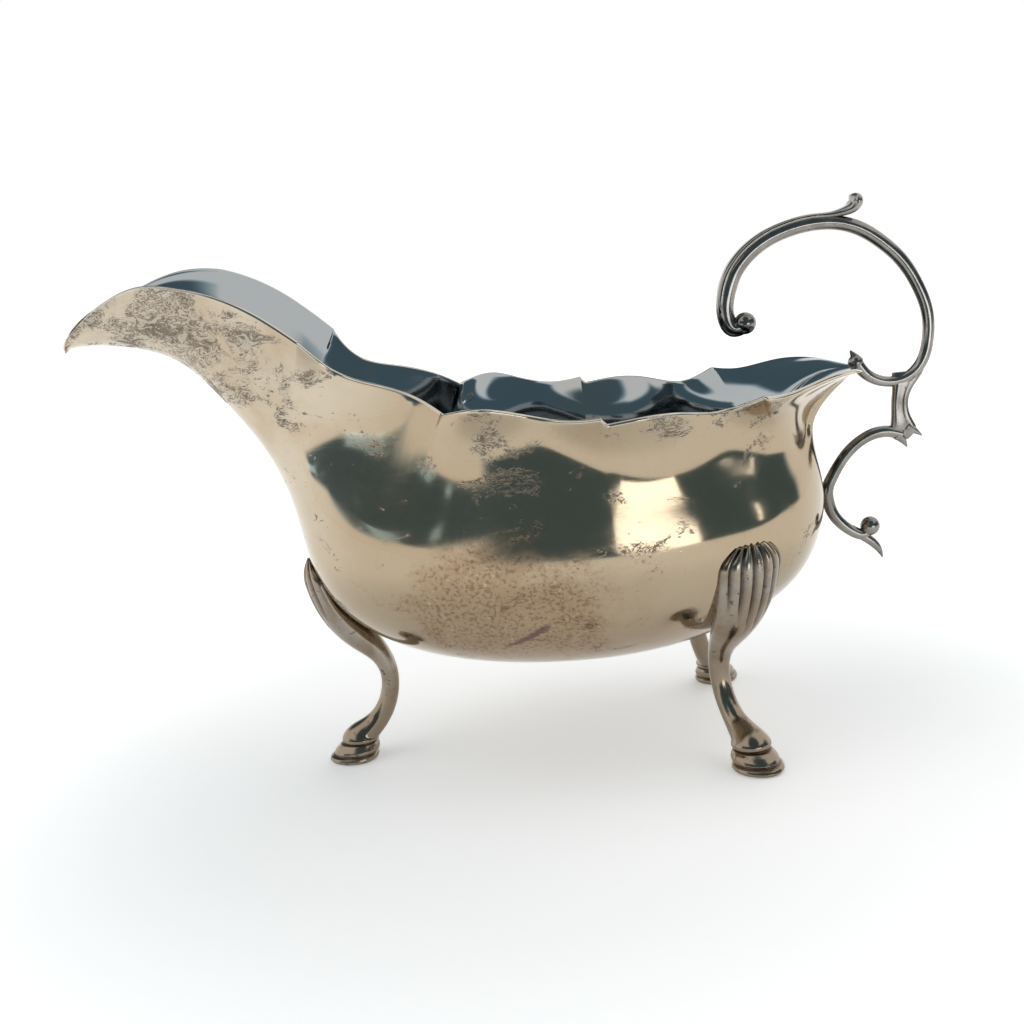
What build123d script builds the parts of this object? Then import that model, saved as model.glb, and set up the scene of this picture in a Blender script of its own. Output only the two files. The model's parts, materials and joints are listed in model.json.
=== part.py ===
from build123d import *
import math
import os

# Silver sauce boat, standing on its three feet. Millimetres, +Z up.
# The origin is on the floor, below the middle of the whole object.
# The spout points along -X, the handle along +X, and Y = 0 is the middle plane.

# ---- driving sizes -------------------------------------------------------------------
overall_length = 180.0       # spout tip to the outside of the handle
bowl_length = 164.0          # spout tip to the back end of the rim
bowl_half_width = 39.0       # middle plane to the smooth line of the lip, at its widest
bowl_height = 89.0           # underside of the bowl to the top of the spout
belly_clearance = 20.0       # floor to the underside of the bowl
wall = 0.9                   # raised sheet
spout_lean = 0.09            # rise of the spout's edge per mm across the spout
trim_room = 5.0              # how far the raw sheet runs past the finished rim
handle_rise = 29.7           # back end of the rim to the top of the arch, on its centre line
handle_reach = 26.5          # back end of the rim to the foremost point of the arch, likewise
scroll_rod = 2.7             # rod of the upper scroll
lower_rod = 2.3              # rod of the lower scroll
leaf_width = 4.6             # leaf over the arch, across Y
leaf_thickness = 2.2
thumb_ball = 3.4             # curled tip of the leaf
rim_bead = 3.3               # bead where the upper scroll sits on the rim
volute_ball = 4.2            # ball that ends the upper scroll
tail_ball = 3.3              # ball that ends the lower scroll
tail_depth = 1.4             # pointed tail beside that ball, seen from the side
tail_width = 1.65            # the same, across Y
strut_width = 3.4            # link bar, along X
strut_depth = 2.2            # link bar, across Y
solder_bite = 0.35           # how far a casting is let into the piece that it is soldered to
foot_length = 11.0           # pad, heel to toe
foot_width = 10.0
foot_height = 4.8            # three steps
leg_reach = 9.5              # ankle behind the middle of the foot
ankle = 4.1                  # thickness of the leg at its ankle
knee_width = 16.0            # fluted shell, side to side
rear_leg_turn = 60.0         # degrees between +X and the way that a rear leg points

# ---- places, in percent of the bowl's length, height and half width ---------------------
rim_back_up = 61.7           # back end of the rim
belly_back_along = 94.4      # rearmost place of the belly, where the lower scroll is soldered
belly_back_up = 32.5
front_foot_along = 29.4
rear_foot_along = 80.9
rear_foot_out = 66.5

# ---- places that the driving sizes give -----------------------------------------------
tip_x = -overall_length / 2
back_x = tip_x + bowl_length


def along(percent):
    """X at a percentage of the bowl's length behind the spout tip."""
    return tip_x + bowl_length * percent / 100


def up(percent):
    """Z at a percentage of the bowl's height above its underside."""
    return belly_clearance + bowl_height * percent / 100


def out(percent):
    """Distance from the middle plane, as a percentage of the bowl's half width."""
    return bowl_half_width * percent / 100


# Stations of the bowl from the spout tip to the back of the rim, in percent.
# Each is a U-shaped section in a plane that leans from the keel to the lip:
# keel along, keel up, lip along, lip up, lip out, belly out, pull of the neck.
stations = [
    (0.0, 86.0, 0.0, 87.5, 5.5, 4.5, 5.0),
    (5.8, 86.0, 6.4, 95.3, 24.1, 17.4, 21.5),
    (10.7, 83.8, 12.8, 99.7, 37.7, 25.1, 32.3),
    (15.2, 79.3, 18.3, 99.1, 47.2, 31.3, 41.0),
    (19.6, 69.9, 23.8, 95.1, 53.1, 35.9, 46.2),
    (23.2, 59.3, 28.7, 88.3, 55.1, 39.0, 46.7),
    (25.9, 47.4, 32.9, 80.9, 53.3, 42.3, 43.1),
    (26.9, 37.1, 36.3, 75.5, 50.3, 45.6, 41.0),
    (27.8, 27.9, 39.6, 72.4, 54.9, 49.7, 45.6),
    (30.7, 17.3, 43.3, 69.9, 63.6, 58.5, 53.8),
    (36.3, 9.2, 47.6, 67.4, 76.9, 71.8, 64.1),
    (44.8, 3.4, 53.7, 65.8, 93.6, 85.9, 74.4),
    (59.8, 0.0, 62.2, 62.9, 104.5, 94.9, 80.8),
    (73.8, 1.6, 69.5, 61.5, 99.5, 90.8, 79.5),
    (83.5, 7.0, 75.0, 60.9, 91.8, 80.0, 71.8),
    (89.4, 13.7, 79.3, 60.7, 83.6, 67.7, 63.6),
    (92.7, 22.0, 83.2, 60.9, 79.0, 53.3, 55.1),
    (94.4, 32.5, 86.9, 61.5, 72.3, 34.9, 47.4),
    (93.6, 41.0, 89.9, 62.0, 65.1, 26.2, 42.3),
    (92.7, 47.2, 92.7, 62.5, 57.4, 26.7, 39.7),
    (93.9, 53.3, 95.4, 62.7, 46.7, 25.6, 34.9),
    (96.7, 58.2, 97.9, 62.5, 32.1, 19.0, 25.1),
    (99.6, 61.3, 99.8, 63.5, 13.5, 10.5, 11.5),
]
belly_share = 0.46           # height of the belly within a station
neck_share = 0.78            # height of the neck's pull within a station

# Lobes of the finished rim seen from the side, in percent along and up. Neighbours meet in a cusp.
rim_lobes = [
    [(-1.5, 85.2), (0.0, 86.3), (2.7, 91.0), (7.3, 96.2), (13.4, 99.9), (19.2, 98.5), (26.2, 92.1),
     (32.0, 83.1)],
    [(32.0, 83.1), (35.7, 75.7), (40.0, 72.6), (44.8, 69.3), (48.0, 65.6)],
    [(48.0, 65.6), (53.0, 66.3), (57.9, 63.7), (62.0, 62.0), (65.6, 62.5)],
    [(66.3, 60.6), (70.7, 61.2), (75.6, 60.7), (80.5, 59.6), (84.3, 61.5)],
    [(84.3, 61.5), (87.8, 61.1), (92.7, 62.8), (96.9, 62.8), (99.8, 61.7), (101.5, 61.7)],
]

# Centre lines of the handle in the middle plane, in percent: forward of the back of the rim as a
# share of handle_reach (negative), behind it as a share of its overhang, and up by handle_rise.
upper_line = [(-86.8, 36.7), (-95.5, 34.5), (-100.0, 44.0), (-98.0, 60.0), (-91.5, 73.0), (-80.0, 84.5),
              (-65.0, 93.0), (-30.0, 100.0), (-10.0, 98.5), (12.5, 93.0), (41.0, 82.5), (66.0, 69.5),
              (87.5, 51.0), (99.5, 30.5), (98.5, 12.0), (87.5, -3.0), (69.5, -11.5), (47.0, -14.0),
              (23.0, -11.5), (7.0, -5.0), (-1.0, 4.5)]
leaf_line = [(-102.5, 42.5), (-101.5, 60.0), (-94.5, 75.5), (-82.5, 87.0), (-66.5, 96.5), (-30.0, 104.0),
             (-12.5, 104.0), (-3.0, 105.5), (5.5, 109.0)]

# Centre line of the lower scroll, in percent: back from its seat on the bowl to the foot of the
# strut, and up by the same two places' difference in height.
lower_line = [(100.0, 100.0), (85.0, 109.5), (67.5, 108.5), (50.0, 98.0), (34.5, 80.0), (21.5, 56.0),
              (9.5, 29.0), (0.0, 2.0), (0.0, -20.0), (8.5, -48.0), (19.5, -71.0), (33.0, -88.5),
              (46.5, -95.0), (54.5, -84.0)]

# Sections of a leg, in millimetres and degrees: out from the middle of the foot as a share of
# leg_reach, up, lean of the section, half thickness, half width.
leg_sections = [
    (-0.10, 4.2, -20, 3.7, 3.6),
    (-0.46, 7.6, -50, 2.4, 2.4),
    (-0.84, 12.0, -25, ankle / 2, ankle / 2),
    (-1.00, 18.0, 5, ankle / 2, 2.3),
    (-0.80, 23.8, 35, 2.7, 3.4),
    (-0.36, 28.5, 45, 4.2, 0.38 * knee_width),
    (0.06, 34.0, 25, 4.6, 0.50 * knee_width),
    (0.23, 40.0, 5, 3.6, 0.46 * knee_width),
    (0.27, 45.0, -5, 1.8, 0.25 * knee_width),
]

# Steps of a foot, from the floor up: size as a share of the pad, and how far its middle is set back.
foot_steps = [(1.0, 0.0), (0.87, 0.4), (0.74, 0.9)]

# The link between the scrolls. Its two ends lie on the handle's grid, and its corners are counted
# from them, as shares of strut_width along and of scroll_rod up.
link_head = (66.0, -11.0)
link_foot = (54.0, -52.0)
head_corners = [(0.7, 0.4), (-0.9, -0.3)]
foot_corners = [(-0.45, 0.3), (0.5, 0.0), (1.15, -0.07)]
waist_shift = 0.05

# The tail of the lower scroll, on the grid of lower_line.
tail_line = [(41.0, -96.0), (58.0, -112.0), (68.5, -146.0)]

rim_back = Vector(back_x, 0, up(rim_back_up))
overhang = overall_length / 2 - scroll_rod / 2 - back_x


def handle_point(percent_back, percent_up):
    span = overhang if percent_back > 0 else handle_reach
    return rim_back + Vector(span * percent_back / 100, 0, handle_rise * percent_up / 100)


belly_back = Vector(along(belly_back_along), 0, up(belly_back_up))
seat = belly_back + Vector(lower_rod / 2 - solder_bite, 0, 0)
strut_head = handle_point(*link_head)
strut_foot = handle_point(*link_foot)


def lower_point(percent_back, percent_up):
    run = strut_foot - seat
    return seat + Vector(run.X * percent_back / 100, 0, run.Z * percent_up / 100)


# ---- sketches of the bowl ---------------------------------------------------------------
def inward(index):
    """Unit normal of the keel at a station, pointing into the bowl."""
    before = stations[max(index - 1, 0)]
    after = stations[min(index + 1, len(stations) - 1)]
    run = Vector(along(after[0]) - along(before[0]), 0, up(after[1]) - up(before[1])).normalized()
    return Vector(-run.Z, 0, run.X)


def station_sketch(index, inset):
    """One U-shaped section, closed across the top above the rim. The inset is a wall's thickness."""
    keel_along, keel_up, lip_along, lip_up, lip_out, belly_out, neck_out = stations[index]
    shift = inward(index) * inset
    keel = Vector(along(keel_along), 0, up(keel_up)) + shift
    lip = Vector(along(lip_along), 0, up(lip_up)) + shift
    run = lip - keel
    belly_y = run.length * belly_share
    neck_y = run.length * neck_share
    belly_x = out(belly_out) - inset
    neck_x = out(neck_out) - inset
    lip_x = out(lip_out) - inset
    flare = (lip_x - neck_x) / (run.length - neck_y)
    top_x = lip_x + flare * trim_room
    top_y = run.length + trim_room
    plane = Plane(origin=keel, x_dir=(0, 1, 0), z_dir=(run.Z, 0, -run.X))
    with BuildSketch(plane) as sketch:
        with BuildLine():
            EllipticalCenterArc((0, belly_y), belly_x, belly_y, start_angle=180, arc_size=180)
            for side in (-1, 1):
                Bezier((side * belly_x, belly_y), (side * belly_x, (belly_y + neck_y) / 2),
                       (side * neck_x, neck_y), (side * lip_x, run.length))
                Line((side * lip_x, run.length), (side * top_x, top_y))
            Line((-top_x, top_y), (top_x, top_y))
        make_face()
    return sketch.sketch


def trim_sketch(side):
    """Side view of everything above the rim, on a plane well outside the bowl."""
    reach = bowl_half_width + 2 * trim_room
    spout_end = rim_lobes[0][-1][0]
    with BuildSketch(Plane.XZ.offset(-side * reach)) as sketch:
        with BuildLine():
            ends = []
            for lobe in rim_lobes:
                points = []
                for percent_along, percent_up in lobe:
                    fade = math.sin(math.pi * min(max(percent_along / spout_end, 0), 1))
                    lift = side * reach * spout_lean * fade
                    points.append((along(percent_along), up(percent_up) + lift))
                Spline(*points)
                ends.append((points[0], points[-1]))
            Line(ends[2][1], ends[3][0])
            ceiling = up(100) + handle_rise
            Polyline(ends[-1][1], (ends[-1][1][0], ceiling), (ends[0][0][0], ceiling), ends[0][0])
        make_face()
    return sketch.sketch


# ---- the bowl ---------------------------------------------------------------------------
outer_stations = [station_sketch(index, 0) for index in range(len(stations))]
inner_stations = [station_sketch(index, wall) for index in range(len(stations))]

with BuildPart() as envelope:   # the bowl as if it were full: what the castings are fitted to
    loft(outer_stations)
    loft([trim_sketch(-1), trim_sketch(1)], ruled=True, mode=Mode.SUBTRACT)

with BuildPart() as bowl:
    add(envelope.part)
    loft(inner_stations, mode=Mode.SUBTRACT)
bowl.part.label = "bowl"


# ---- the handle -------------------------------------------------------------------------
def rod(centre_line, half_depth, half_width):
    """Sweep an oval along a line of points in the middle plane, inside the current part."""
    with BuildLine() as path:
        Spline(*centre_line)
    with BuildSketch(Plane(path.line @ 0, x_dir=(0, 1, 0), z_dir=path.line % 0)) as section:
        Ellipse(half_width, half_depth)
    sweep(section.sketch, path.line)


def place(piece_point):
    return Locations(Location(piece_point))


with BuildPart() as upper_scroll:
    rod([handle_point(*point) for point in upper_line], scroll_rod / 2, scroll_rod / 2)
    with place(handle_point(*upper_line[0])):
        Sphere(volute_ball / 2)
    with place(handle_point(*upper_line[-1])):
        Sphere(rim_bead / 2)
    add(envelope.part, mode=Mode.SUBTRACT)
upper_scroll.part.label = "upper_scroll"

with BuildPart() as scroll_leaf:
    rod([handle_point(*point) for point in leaf_line], leaf_thickness / 2, leaf_width / 2)
    with place(handle_point(*leaf_line[0])):
        Sphere(leaf_thickness / 2)
    with place(handle_point(*leaf_line[-1])):
        Sphere(thumb_ball / 2)
    add(upper_scroll.part, mode=Mode.SUBTRACT)
scroll_leaf.part.label = "scroll_leaf"

with BuildPart() as lower_scroll:
    rod([lower_point(*point) for point in lower_line], lower_rod / 2, lower_rod / 2)
    with place(lower_point(*lower_line[0])):
        Sphere(lower_rod / 2)
    with place(lower_point(*lower_line[-1])):
        Sphere(tail_ball / 2)
    rod([lower_point(*point) for point in tail_line], tail_depth / 2, tail_width / 2)
    add(envelope.part, mode=Mode.SUBTRACT)
lower_scroll.part.label = "lower_scroll"

def link_corner(end, share_along, share_up):
    return (end.X + share_along * strut_width, end.Z + share_up * scroll_rod)


with BuildPart() as handle_strut:
    with BuildSketch(Plane.XZ.offset(-strut_depth / 2)):
        with BuildLine():
            corners = [link_corner(strut_head, *corner) for corner in head_corners]
            corners += [link_corner(strut_foot, *corner) for corner in foot_corners]
            waist = (strut_head.X + waist_shift * strut_width, (strut_head.Z + strut_foot.Z) / 2)
            Polyline(*corners)
            Spline(corners[-1], waist, corners[0])
        make_face()
    extrude(amount=strut_depth)
    add(upper_scroll.part, mode=Mode.SUBTRACT)
    add(lower_scroll.part, mode=Mode.SUBTRACT)
handle_strut.part.label = "handle_strut"


# ---- the legs ---------------------------------------------------------------------------
def leg_plane(foot, turn, reach, height, lean):
    """Plane of a leg's section: reach is out from the middle of the foot, lean tips it outwards."""
    outward = Vector(math.cos(math.radians(turn)), math.sin(math.radians(turn)), 0)
    rise = Vector(0, 0, 1)
    sine = math.sin(math.radians(lean))
    cosine = math.cos(math.radians(lean))
    return Plane(origin=foot + outward * reach + rise * height, x_dir=outward * cosine - rise * sine,
                 z_dir=outward * sine + rise * cosine)


def leg_casting(foot, turn):
    """One cabriole leg: stepped pad, ankle and shell knee, fitted to the outside of the bowl."""
    with BuildPart() as leg:
        step = foot_height / len(foot_steps)
        for level, (size, back) in enumerate(foot_steps):
            with BuildSketch(leg_plane(foot, turn, -back, level * step, 0)):
                Ellipse(size * foot_length / 2, size * foot_width / 2)
            extrude(amount=step)
        sections = []
        for reach, height, lean, half_depth, half_width in leg_sections:
            with BuildSketch(leg_plane(foot, turn, reach * leg_reach, height, lean)) as section:
                Ellipse(half_depth, half_width)
            sections.append(section.sketch)
        loft(sections)
        add(envelope.part, mode=Mode.SUBTRACT)
    return leg


leg_front = leg_casting(Vector(along(front_foot_along), 0, 0), 180)
leg_rear_left = leg_casting(Vector(along(rear_foot_along), out(rear_foot_out), 0), rear_leg_turn)
leg_rear_right = leg_casting(Vector(along(rear_foot_along), -out(rear_foot_out), 0), -rear_leg_turn)
leg_front.part.label = "leg_front"
leg_rear_left.part.label = "leg_rear_left"
leg_rear_right.part.label = "leg_rear_right"

# ---- files ------------------------------------------------------------------------------
os.makedirs("parts", exist_ok=True)
for piece in (bowl, upper_scroll, scroll_leaf, handle_strut, lower_scroll, leg_front, leg_rear_left,
              leg_rear_right):
    export_step(piece.part, "parts/" + piece.part.label + ".step")
    print(piece.part.label, len(piece.part.solids()), round(piece.part.volume, 1))
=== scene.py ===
import bmesh
import bpy
import json
import math
import numpy as np
from mathutils import Matrix


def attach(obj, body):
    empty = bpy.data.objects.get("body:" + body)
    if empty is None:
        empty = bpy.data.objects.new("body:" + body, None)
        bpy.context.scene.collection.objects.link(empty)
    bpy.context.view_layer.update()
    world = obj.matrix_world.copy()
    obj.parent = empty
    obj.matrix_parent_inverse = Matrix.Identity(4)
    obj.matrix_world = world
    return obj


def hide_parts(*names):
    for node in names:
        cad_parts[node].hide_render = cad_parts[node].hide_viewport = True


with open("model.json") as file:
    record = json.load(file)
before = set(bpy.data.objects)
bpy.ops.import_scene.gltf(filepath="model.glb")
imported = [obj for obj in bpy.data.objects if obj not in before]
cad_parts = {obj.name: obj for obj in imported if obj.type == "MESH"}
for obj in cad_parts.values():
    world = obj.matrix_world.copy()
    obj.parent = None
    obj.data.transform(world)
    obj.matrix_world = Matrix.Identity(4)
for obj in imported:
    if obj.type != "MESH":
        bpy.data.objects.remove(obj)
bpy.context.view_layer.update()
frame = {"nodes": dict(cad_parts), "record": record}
mm = 0.001
print("sauce boat: frame loaded,", len(frame["nodes"]), "nodes")

# Curves and grids, all on whole arrays.


def smoothThrough(at, knots, values):
    # Natural cubic spline: a cubic between each two knots, bending on smoothly, with no bend at the two ends.
    knots = np.asarray(knots, float)
    values = np.asarray(values, float)
    gaps = np.diff(knots)
    slopes = np.diff(values, axis=0) / gaps[:, None]
    system = np.diag(np.r_[1, 2 * (gaps[:-1] + gaps[1:]), 1])
    system += np.diag(np.r_[gaps[:-1], 0], -1) + np.diag(np.r_[0, gaps[1:]], 1)
    still = np.zeros((1, values.shape[1]))
    bends = np.linalg.solve(system, np.vstack([still, 6 * np.diff(slopes, axis=0), still]))
    at = np.asarray(at, float)
    span = np.clip(np.searchsorted(knots, at, side="right") - 1, 0, len(gaps) - 1)
    step = (at - knots[span])[:, None]
    gap = gaps[span][:, None]
    lean = slopes[span] - gap * (2 * bends[span] + bends[span + 1]) / 6
    curl = (bends[span + 1] - bends[span]) / (6 * gap)
    return values[span] + step * lean + step ** 2 * bends[span] / 2 + step ** 3 * curl


def runLength(points):
    # Distance along a row of points, from the first one.
    steps = np.linalg.norm(np.diff(np.asarray(points, float), axis=0), axis=1)
    return np.r_[0, np.cumsum(steps)]


def smoothLine(points, count):
    # The spline through a few points, sampled evenly along its length. More columns ride along, such as
    # radii.
    points = np.asarray(points, float)
    knots = runLength(points[:, :2])
    fine = smoothThrough(np.linspace(0, knots[-1], 6 * count), knots, points)
    length = runLength(fine[:, :2])
    even = np.linspace(0, length[-1], count)
    return np.stack([np.interp(even, length, column) for column in fine.T], axis=1)


def smoothStep(low, high, value):
    share = np.clip((value - low) / (high - low), 0, 1)
    return share * share * (3 - 2 * share)


def unit(vectors):
    return vectors / (np.linalg.norm(vectors, axis=-1, keepdims=True) + 1e-12)


def closedSkin(rings):
    # Triangles over a stack of rings (rows x columns x 3), with a pole in the middle of each end ring.
    rows, columns, _ = rings.shape
    points = np.vstack([rings.reshape(-1, 3), rings[0].mean(0), rings[-1].mean(0)])
    index = np.arange(rows * columns).reshape(rows, columns)
    here, ahead = index[:-1], index[1:]
    besides, across = np.roll(here, -1, 1), np.roll(ahead, -1, 1)
    sides = np.concatenate([np.stack([here, besides, across], -1), np.stack([here, across, ahead], -1)])
    first, last = index[0], index[-1]
    start = np.stack([np.roll(first, -1), first, np.full(columns, rows * columns)], -1)
    end = np.stack([last, np.roll(last, -1), np.full(columns, rows * columns + 1)], -1)
    faces = np.vstack([sides.reshape(-1, 3), start, end])
    a, b, c = (points[faces[:, corner]] for corner in range(3))
    if np.einsum("ij,ij->i", a, np.cross(b, c)).sum() < 0:   # the enclosed volume tells in from out
        faces = faces[:, ::-1]
    return points, faces


def makePiece(name, skins, material, node, marks=None):
    # One object out of several closed skins, in millimetres, at the origin. Marks are point attributes,
    # one array of values for each skin, poles last.
    points = np.vstack([skin[0] for skin in skins]) * mm
    starts = np.cumsum([0] + [len(skin[0]) for skin in skins[:-1]])
    faces = np.vstack([skin[1] + start for skin, start in zip(skins, starts)])
    mesh = bpy.data.meshes.new(name)
    mesh.from_pydata(points.tolist(), [], faces.tolist())
    for key, values in (marks or {}).items():
        attribute = mesh.attributes.new(key, "FLOAT", "POINT")
        attribute.data.foreach_set("value", np.concatenate(values).astype(np.float32))
    cleaner = bmesh.new()
    cleaner.from_mesh(mesh)
    bmesh.ops.remove_doubles(cleaner, verts=cleaner.verts, dist=0.000004)
    bmesh.ops.dissolve_degenerate(cleaner, edges=cleaner.edges, dist=0.000001)
    cleaner.to_mesh(mesh)
    cleaner.free()
    mesh.polygons.foreach_set("use_smooth", np.ones(len(mesh.polygons), bool))
    mesh.materials.append(material)
    piece = bpy.data.objects.new(name, mesh)
    bpy.context.scene.collection.objects.link(piece)
    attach(piece, "root")
    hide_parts(node)
    print("  made", name, len(mesh.polygons), "faces")
    return piece


# Shader nodes.


class Wire:
    # A socket that takes part in sums: each operator adds one Math node.
    def __init__(self, bench, socket):
        self.bench = bench
        self.socket = socket

    def sum(self, operation, first, second):
        return self.bench.add("ShaderNodeMath", {"operation": operation}, {0: first, 1: second})

    def __add__(self, other):
        return self.sum("ADD", self, other)

    def __radd__(self, other):
        return self.sum("ADD", other, self)

    def __sub__(self, other):
        return self.sum("SUBTRACT", self, other)

    def __rsub__(self, other):
        return self.sum("SUBTRACT", other, self)

    def __mul__(self, other):
        return self.sum("MULTIPLY", self, other)

    def __rmul__(self, other):
        return self.sum("MULTIPLY", other, self)


class Bench:
    # A node tree. Nodes come from add(), and from split() where all three results are wanted.
    def __init__(self, tree):
        self.tree = tree
        tree.nodes.clear()

    def add(self, kind, settings=None, inputs=None, output=0):
        node = self.tree.nodes.new(kind)
        for key, value in (settings or {}).items():
            setattr(node, key, value)
        for key, value in (inputs or {}).items():
            if isinstance(value, Wire):
                self.tree.links.new(value.socket, node.inputs[key])
            elif hasattr(value, "__len__") and node.inputs[key].type == "RGBA":
                node.inputs[key].default_value = (*value, 1)
            else:
                node.inputs[key].default_value = value
        return Wire(self, node.outputs[output]) if len(node.outputs) else None

    def place(self):
        # Object coordinates are the fourth output.
        return self.add("ShaderNodeTexCoord", None, None, 3)

    def split(self, vector):
        node = self.tree.nodes.new("ShaderNodeSeparateXYZ")
        self.tree.links.new(vector.socket, node.inputs[0])
        return [Wire(self, output) for output in node.outputs]

    def size(self, value):
        return self.add("ShaderNodeMath", {"operation": "ABSOLUTE"}, {0: value})

    def larger(self, first, second):
        return self.add("ShaderNodeMath", {"operation": "MAXIMUM"}, {0: first, 1: second})

    def noise(self, where, scale, detail, rough, distort=0.0):
        return self.add("ShaderNodeTexNoise", None,
                        {"Vector": where, "Scale": scale, "Detail": detail, "Roughness": rough,
                         "Distortion": distort})

    def stretch(self, where, scales, turn=(0, 0, 0)):
        return self.add("ShaderNodeMapping", None, {"Vector": where, "Scale": scales, "Rotation": turn})

    def ease(self, value, low, high, bottom=0.0, top=1.0):
        return self.add("ShaderNodeMapRange", {"interpolation_type": "SMOOTHSTEP"},
                        {"Value": value, "From Min": low, "From Max": high, "To Min": bottom, "To Max": top})

    def mix(self, share, below, above):
        # The colour sockets of a Mix node are its seventh and eighth, and its colour result is the third.
        return self.add("ShaderNodeMix", {"data_type": "RGBA"}, {0: share, 6: below, 7: above}, 2)

    def mark(self, name):
        return self.add("ShaderNodeAttribute", {"attribute_name": name}, None, 2)

    def patch(self, where, centre, radius, soft):
        # One near a place on the piece, zero away from it. Lengths in millimetres.
        away = self.add("ShaderNodeVectorMath", {"operation": "DISTANCE"},
                        {0: where, 1: tuple(value * mm for value in centre)}, 1)
        return self.ease(away, (radius - soft) * mm, (radius + soft) * mm, 1.0, 0.0)


def silver(name, finish):
    # Starts a material: the bench, and a function that closes it with a metal shader.
    material = bpy.data.materials.new(name)
    material.use_nodes = True
    bench = Bench(material.node_tree)

    def close(colour, roughness, height):
        bump = bench.add("ShaderNodeBump", None, {"Height": height, "Distance": finish["relief"] * mm})
        shader = bench.add("ShaderNodeBsdfPrincipled", None,
                           {"Base Color": colour, "Roughness": roughness, "Metallic": finish["metal"],
                            "Normal": bump})
        bench.add("ShaderNodeOutputMaterial", None, {"Surface": shader})
        return material

    return bench, bench.place(), close


# The raised silver of the bowl: champagne tarnish with brown pitting outside, a darker clean mirror inside.

raisedFinish = {
    "metal": 1.0, "relief": 0.03,
    "clean": (0.57, 0.49, 0.38), "champagne": (0.48, 0.38, 0.265), "rust": (0.36, 0.24, 0.145),
    "bodyTone": (0.40, 0.315, 0.215), "grey": (0.36, 0.34, 0.29), "brown": (0.13, 0.085, 0.055),
    "plum": (0.12, 0.06, 0.075), "inside": (0.36, 0.385, 0.40), "white": (0.60, 0.54, 0.45),
    "polish": 0.085, "haze": 0.25,
    # Middle of the darker body, its reach, how softly it ends and how much of the colour it takes.
    "bodyTonePlace": ((22, 0, 45), 64, 10), "bodyToneShare": 0.8,
    # The scratch: its middle in metres, turn in radians, half length and half width with their soft ends.
    "scarPlace": (0.0003, 0.0, 0.0335), "scarTurn": 0.52, "scarLength": (0.0035, 0.0065),
    "scarWidth": (0.0002, 0.0009), "scarWander": 0.004,
}
# Where the tarnish has eaten in deeper: centre, reach and how much of the metal it takes.
pittedPlaces = [((-72, -12, 100), 13, 0.9), ((-58, -15, 94), 12, 0.85), ((-46, -17, 86), 8, 0.8),
                ((-1, -31, 76), 9, 0.5), ((34, -33, 72), 12, 0.65), ((-62, 15, 96), 14, 0.8),
                ((-22, 24, 50), 14, 0.5), ((20, 32, 40), 18, 0.8)]
# The underside of the belly is browner and grainy.
rustyPlaces = [((2, -30, 38), 17, 1.0), ((-14, -28, 38), 12, 0.7), ((18, 30, 36), 20, 0.9)]


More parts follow.
